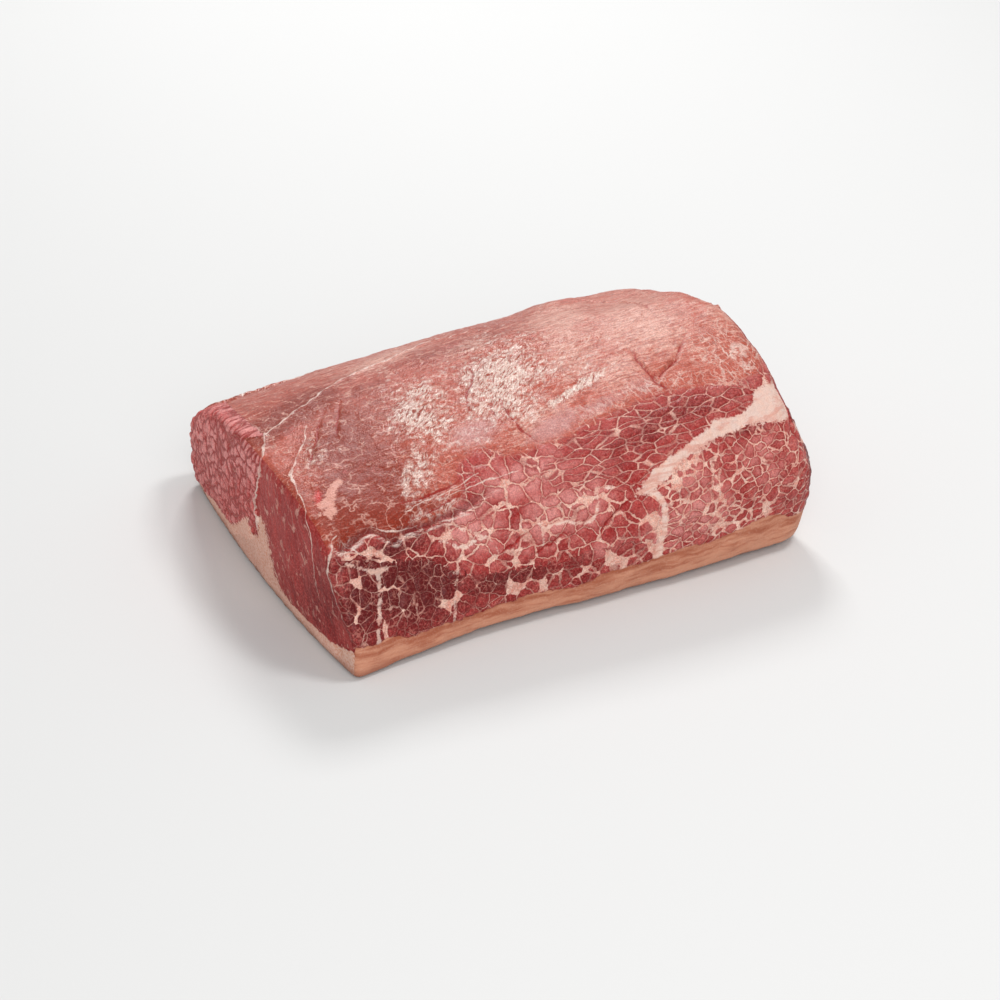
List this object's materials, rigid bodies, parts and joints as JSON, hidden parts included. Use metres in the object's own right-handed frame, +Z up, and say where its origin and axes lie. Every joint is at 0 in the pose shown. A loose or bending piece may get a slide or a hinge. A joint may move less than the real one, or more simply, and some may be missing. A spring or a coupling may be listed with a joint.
{
  "type": "beef bottom round roast",
  "caption": "Raw beef bottom round roast: a marbled red slab with a domed top, freshly cut ends and a pale fat cap underneath that it rests on.",
  "frame": {"origin": "middle of the bounding box's base, on the plane that the roast rests on", "axes": "+X along the roast from its freshly cut left end to its rounded right end, +Y from the front cut side to the back, +Z up from the fat cap"},
  "size_m": [0.207, 0.1792, 0.0765],
  "materials": {
    "raw_beef": "moist marbled raw meat with pale fat seams, a whitish membrane on top and a cream fat cap below, semi-gloss"
  },
  "bodies": {
    "root": {"roast": "raw_beef"}
  },
  "joints": []
}
